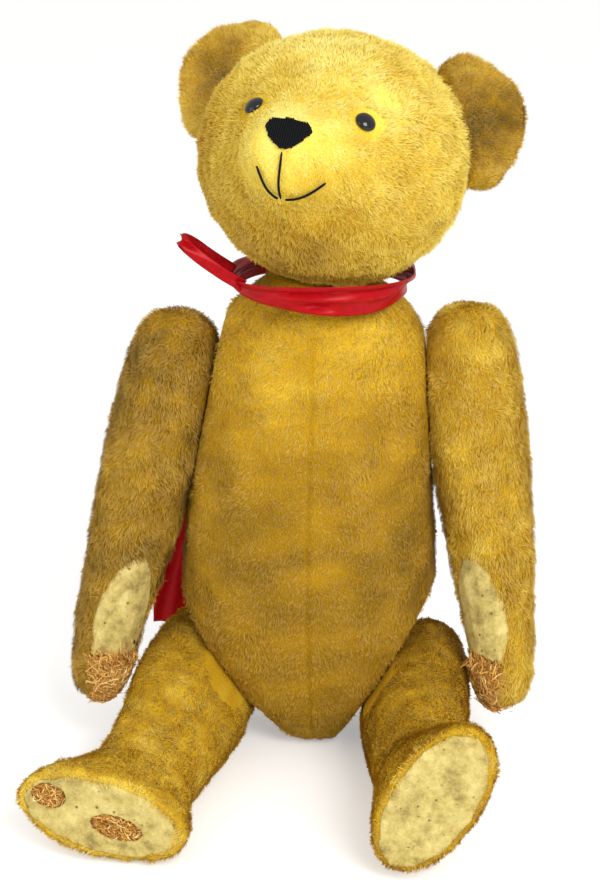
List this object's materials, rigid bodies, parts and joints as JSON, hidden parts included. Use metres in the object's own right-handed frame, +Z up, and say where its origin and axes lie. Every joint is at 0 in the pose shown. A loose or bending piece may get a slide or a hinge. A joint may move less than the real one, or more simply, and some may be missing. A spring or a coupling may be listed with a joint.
{
  "type": "jointed teddy bear",
  "caption": "Seated, threadbare gold mohair bear stuffed with wood wool, with disc-jointed head, arms and legs, worn felt pads, button eyes and a red neck ribbon.",
  "frame": {"origin": "centre of the flat seat face under the torso", "axes": "+Z up, the bear faces -Y, +X is its left side"},
  "size_m": [0.2824, 0.2721, 0.4337],
  "materials": {
    "mohair": "short worn pile, gold, darker where it is thin",
    "felt": "matted wool felt, moth holes",
    "wood_wool": "fine curled shavings",
    "black_thread": "twisted cotton",
    "boot_button": "polished black",
    "red_satin": "satin",
    "card": "pressed cardboard",
    "steel": "dull"
  },
  "bodies": {
    "arm_left": {"arm_left_cover": "mohair", "arm_left_paw_pad": "felt", "arm_left_stuffing": "wood_wool", "shoulder_left_disc_outer": "card", "shoulder_left_washer_outer": "steel"},
    "arm_right": {"arm_right_cover": "mohair", "arm_right_paw_pad": "felt", "arm_right_stuffing": "wood_wool", "shoulder_right_disc_outer": "card", "shoulder_right_washer_outer": "steel"},
    "head": {"ear_left": "mohair", "ear_right": "mohair", "eye_left": "boot_button", "eye_right": "boot_button", "head_cover": "mohair", "head_stuffing": "wood_wool", "mouth_left": "black_thread", "mouth_middle": "black_thread", "mouth_right": "black_thread", "neck_disc_outer": "card", "neck_washer_outer": "steel", "nose_stitching": "black_thread"},
    "torso": {"hip_left_disc_inner": "card", "hip_left_pin": "steel", "hip_left_washer_inner": "steel", "hip_right_disc_inner": "card", "hip_right_pin": "steel", "hip_right_washer_inner": "steel", "neck_disc_inner": "card", "neck_pin": "steel", "neck_ribbon": "red_satin", "neck_washer_inner": "steel", "shoulder_left_disc_inner": "card", "shoulder_left_pin": "steel", "shoulder_left_washer_inner": "steel", "shoulder_right_disc_inner": "card", "shoulder_right_pin": "steel", "shoulder_right_washer_inner": "steel", "torso_cover": "mohair", "torso_stuffing": "wood_wool"},
    "leg_left": {"hip_left_disc_outer": "card", "hip_left_washer_outer": "steel", "leg_left_cover": "mohair", "leg_left_foot_pad": "felt", "leg_left_stuffing": "wood_wool"},
    "leg_right": {"hip_right_disc_outer": "card", "hip_right_washer_outer": "steel", "leg_right_cover": "mohair", "leg_right_foot_pad": "felt", "leg_right_stuffing": "wood_wool"}
  },
  "joints": [
    {"name": "neck", "type": "hinge", "parent": "torso", "child": "head", "pos_m": [0.005, -0.003, 0.291], "axis": [0.0958, 0, 0.9954], "continuous": true},
    {"name": "shoulder_right", "type": "hinge", "parent": "torso", "child": "arm_right", "pos_m": [-0.062, 0, 0.226], "axis": [-0.9816, 0, 0.1908], "range_deg": [-20, 120]},
    {"name": "shoulder_left", "type": "hinge", "parent": "torso", "child": "arm_left", "pos_m": [0.0656, 0, 0.236], "axis": [0.9977, 0, 0.068], "range_deg": [-125, 150]},
    {"name": "hip_right", "type": "hinge", "parent": "torso", "child": "leg_right", "pos_m": [-0.049, -0.004, 0.0538], "axis": [-0.7958, 0.0837, -0.5997], "range_deg": [-100, 2]},
    {"name": "hip_left", "type": "hinge", "parent": "torso", "child": "leg_left", "pos_m": [0.041, -0.006, 0.0496], "axis": [0.8659, -0.02, -0.4999], "range_deg": [-2, 100]}
  ]
}
